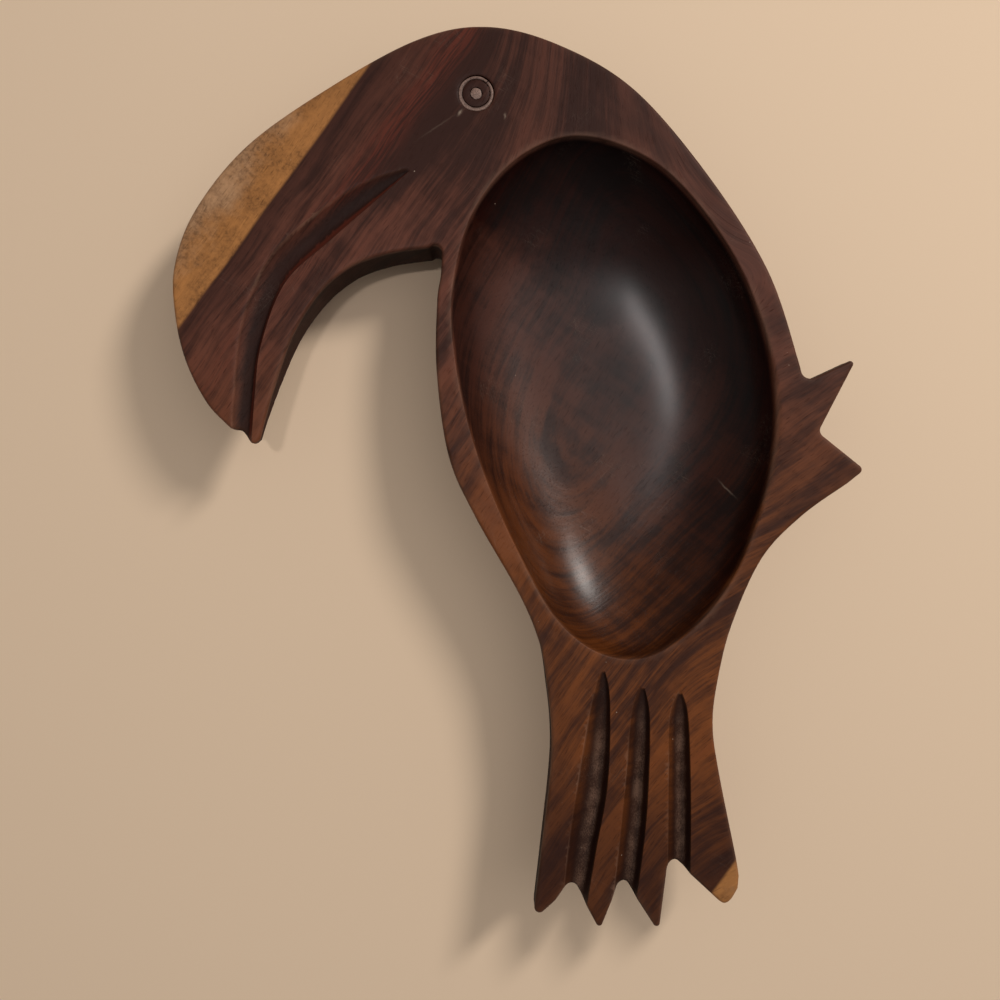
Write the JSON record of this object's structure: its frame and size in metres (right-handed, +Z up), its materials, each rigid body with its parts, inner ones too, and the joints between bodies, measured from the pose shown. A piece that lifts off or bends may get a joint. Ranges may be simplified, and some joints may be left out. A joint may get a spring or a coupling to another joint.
{
  "type": "carved wooden bird bowl",
  "caption": "Shallow oval serving bowl carved in a wooden bird lying on its side, with a hooked bill, a short pointed wing, a grooved tail and an inlaid ring eye.",
  "frame": {"origin": "middle of the plan, on the surface that the bowl stands on", "axes": "+Y from the tail to the crown of the head, +X to the side of the wing, +Z up out of the bowl's mouth"},
  "size_m": [0.2606, 0.34, 0.038],
  "materials": {
    "heartwood": "hand-rubbed wax, satin, with a natural pale sapwood band on the bill and one tail tip",
    "pale_inlay": "pale inlay, flush and matt"
  },
  "bodies": {
    "root": {"carved_body": "heartwood", "eye_ring": "pale_inlay", "eye_pupil": "pale_inlay"}
  },
  "joints": []
}
